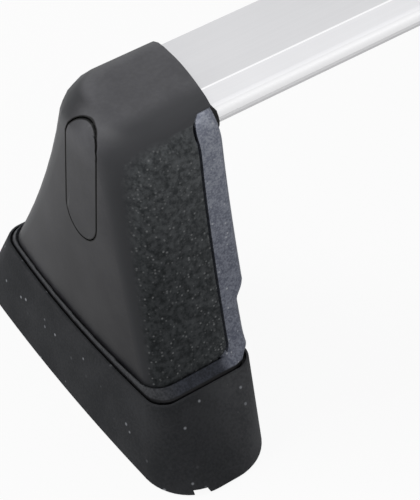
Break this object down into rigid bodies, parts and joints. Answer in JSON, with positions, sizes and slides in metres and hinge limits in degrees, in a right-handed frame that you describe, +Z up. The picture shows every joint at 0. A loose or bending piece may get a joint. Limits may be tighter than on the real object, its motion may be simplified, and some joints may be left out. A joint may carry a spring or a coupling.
{
  "type": "roof rack crossbar",
  "caption": "Wing-section aluminium crossbar on tall moulded feet with access flaps, rubber boots and captive fixing bolts.",
  "frame": {"origin": "on the roof plane, midway between the feet and midway between the ends of their boots", "axes": "+X along the bar towards the right foot, +Y towards the bar's thin trailing edge, +Z up"},
  "size_m": [1.1652, 0.2052, 0.1816],
  "materials": {
    "anodised_aluminium": "satin silver anodised",
    "black_cover_plastic": "smooth on the end and top, coarse grain on the sides",
    "grey_body_plastic": "fine grain",
    "boot_rubber": "matte with fine flecks",
    "bracket_steel": "zinc plated",
    "plated_steel": "bright zinc",
    "pad_rubber": "matte"
  },
  "bodies": {
    "rack": {"crossbar": "anodised_aluminium", "left_foot_cover": "black_cover_plastic", "left_flap_pin": "plated_steel", "left_foot_body": "grey_body_plastic", "left_boot": "boot_rubber", "left_support_bracket": "bracket_steel", "left_saddle_pad": "pad_rubber", "left_bar_seal": "pad_rubber", "left_clamp_plate": "plated_steel", "left_clamp_screws": "plated_steel", "left_body_screws": "plated_steel", "left_fixing_bolt": "plated_steel", "left_bolt_washer": "plated_steel", "left_retaining_ring": "bracket_steel", "left_base_pad": "pad_rubber", "right_foot_cover": "black_cover_plastic", "right_flap_pin": "plated_steel", "right_foot_body": "grey_body_plastic", "right_boot": "boot_rubber", "right_support_bracket": "bracket_steel", "right_saddle_pad": "pad_rubber", "right_bar_seal": "pad_rubber", "right_clamp_plate": "plated_steel", "right_clamp_screws": "plated_steel", "right_body_screws": "plated_steel", "right_fixing_bolt": "plated_steel", "right_bolt_washer": "plated_steel", "right_retaining_ring": "bracket_steel", "right_base_pad": "pad_rubber"},
    "left_flap": {"left_access_flap": "black_cover_plastic"},
    "right_flap": {"right_access_flap": "black_cover_plastic"}
  },
  "joints": [
    {"name": "left_flap_hinge", "type": "hinge", "parent": "rack", "child": "left_flap", "pos_m": [-0.55676, -0.0058, 0.1605], "axis": [0, 1, 0], "range_deg": [0, 80]},
    {"name": "right_flap_hinge", "type": "hinge", "parent": "rack", "child": "right_flap", "pos_m": [0.55676, -0.0058, 0.1605], "axis": [0, -1, 0], "range_deg": [0, 80]}
  ]
}
